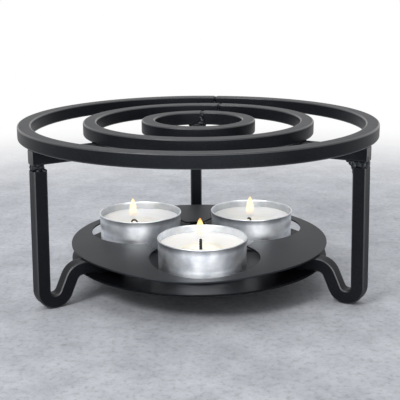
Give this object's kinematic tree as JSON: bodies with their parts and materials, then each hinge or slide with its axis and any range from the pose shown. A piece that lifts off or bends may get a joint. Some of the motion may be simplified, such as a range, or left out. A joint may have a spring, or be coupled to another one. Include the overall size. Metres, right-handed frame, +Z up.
{
  "type": "teapot warmer",
  "caption": "Round black steel teapot warmer: concentric bar rings on bent bar legs, over a double round tray whose recess holds lift-out tealights that heat the pot.",
  "frame": {"origin": "on the floor, under the centre of the rings", "axes": "+Z up; one leg points to +Y at the back, and the front tealight lies towards -Y"},
  "size_m": [0.16, 0.1608, 0.0745],
  "materials": {
    "black_steel": "satin black powder coat on steel bar",
    "coated_weld": "satin black powder coat over a rough weld",
    "black_sheet": "matt black powder coat on steel sheet",
    "cup_aluminium": "thin drawn sheet, satin",
    "wax": "paraffin wax, a little translucent",
    "wick": "braided cotton, charred",
    "tinned_steel": "pressed tinned sheet"
  },
  "bodies": {
    "stand": {"outer_ring": "black_steel", "middle_ring": "black_steel", "inner_ring": "black_steel", "ring_seam_welds": "coated_weld", "spoke_back": "black_steel", "spoke_left": "black_steel", "spoke_right": "black_steel", "spoke_welds": "coated_weld", "leg_back": "black_steel", "leg_left": "black_steel", "leg_right": "black_steel", "leg_welds": "coated_weld", "candle_plate": "black_sheet", "drip_plate": "black_sheet", "plate_welds": "coated_weld"},
    "front_tealight": {"front_cup": "cup_aluminium", "front_wax": "wax", "front_wick": "wick", "front_sustainer": "tinned_steel"},
    "left_tealight": {"left_cup": "cup_aluminium", "left_wax": "wax", "left_wick": "wick", "left_sustainer": "tinned_steel"},
    "right_tealight": {"right_cup": "cup_aluminium", "right_wax": "wax", "right_wick": "wick", "right_sustainer": "tinned_steel"}
  },
  "joints": [
    {"name": "front_tealight_lift", "type": "slide", "parent": "stand", "child": "front_tealight", "axis": [0, 0, 1], "range_m": [0, 0.03]},
    {"name": "left_tealight_lift", "type": "slide", "parent": "stand", "child": "left_tealight", "axis": [0, 0, 1], "range_m": [0, 0.03]},
    {"name": "right_tealight_lift", "type": "slide", "parent": "stand", "child": "right_tealight", "axis": [0, 0, 1], "range_m": [0, 0.03]}
  ]
}
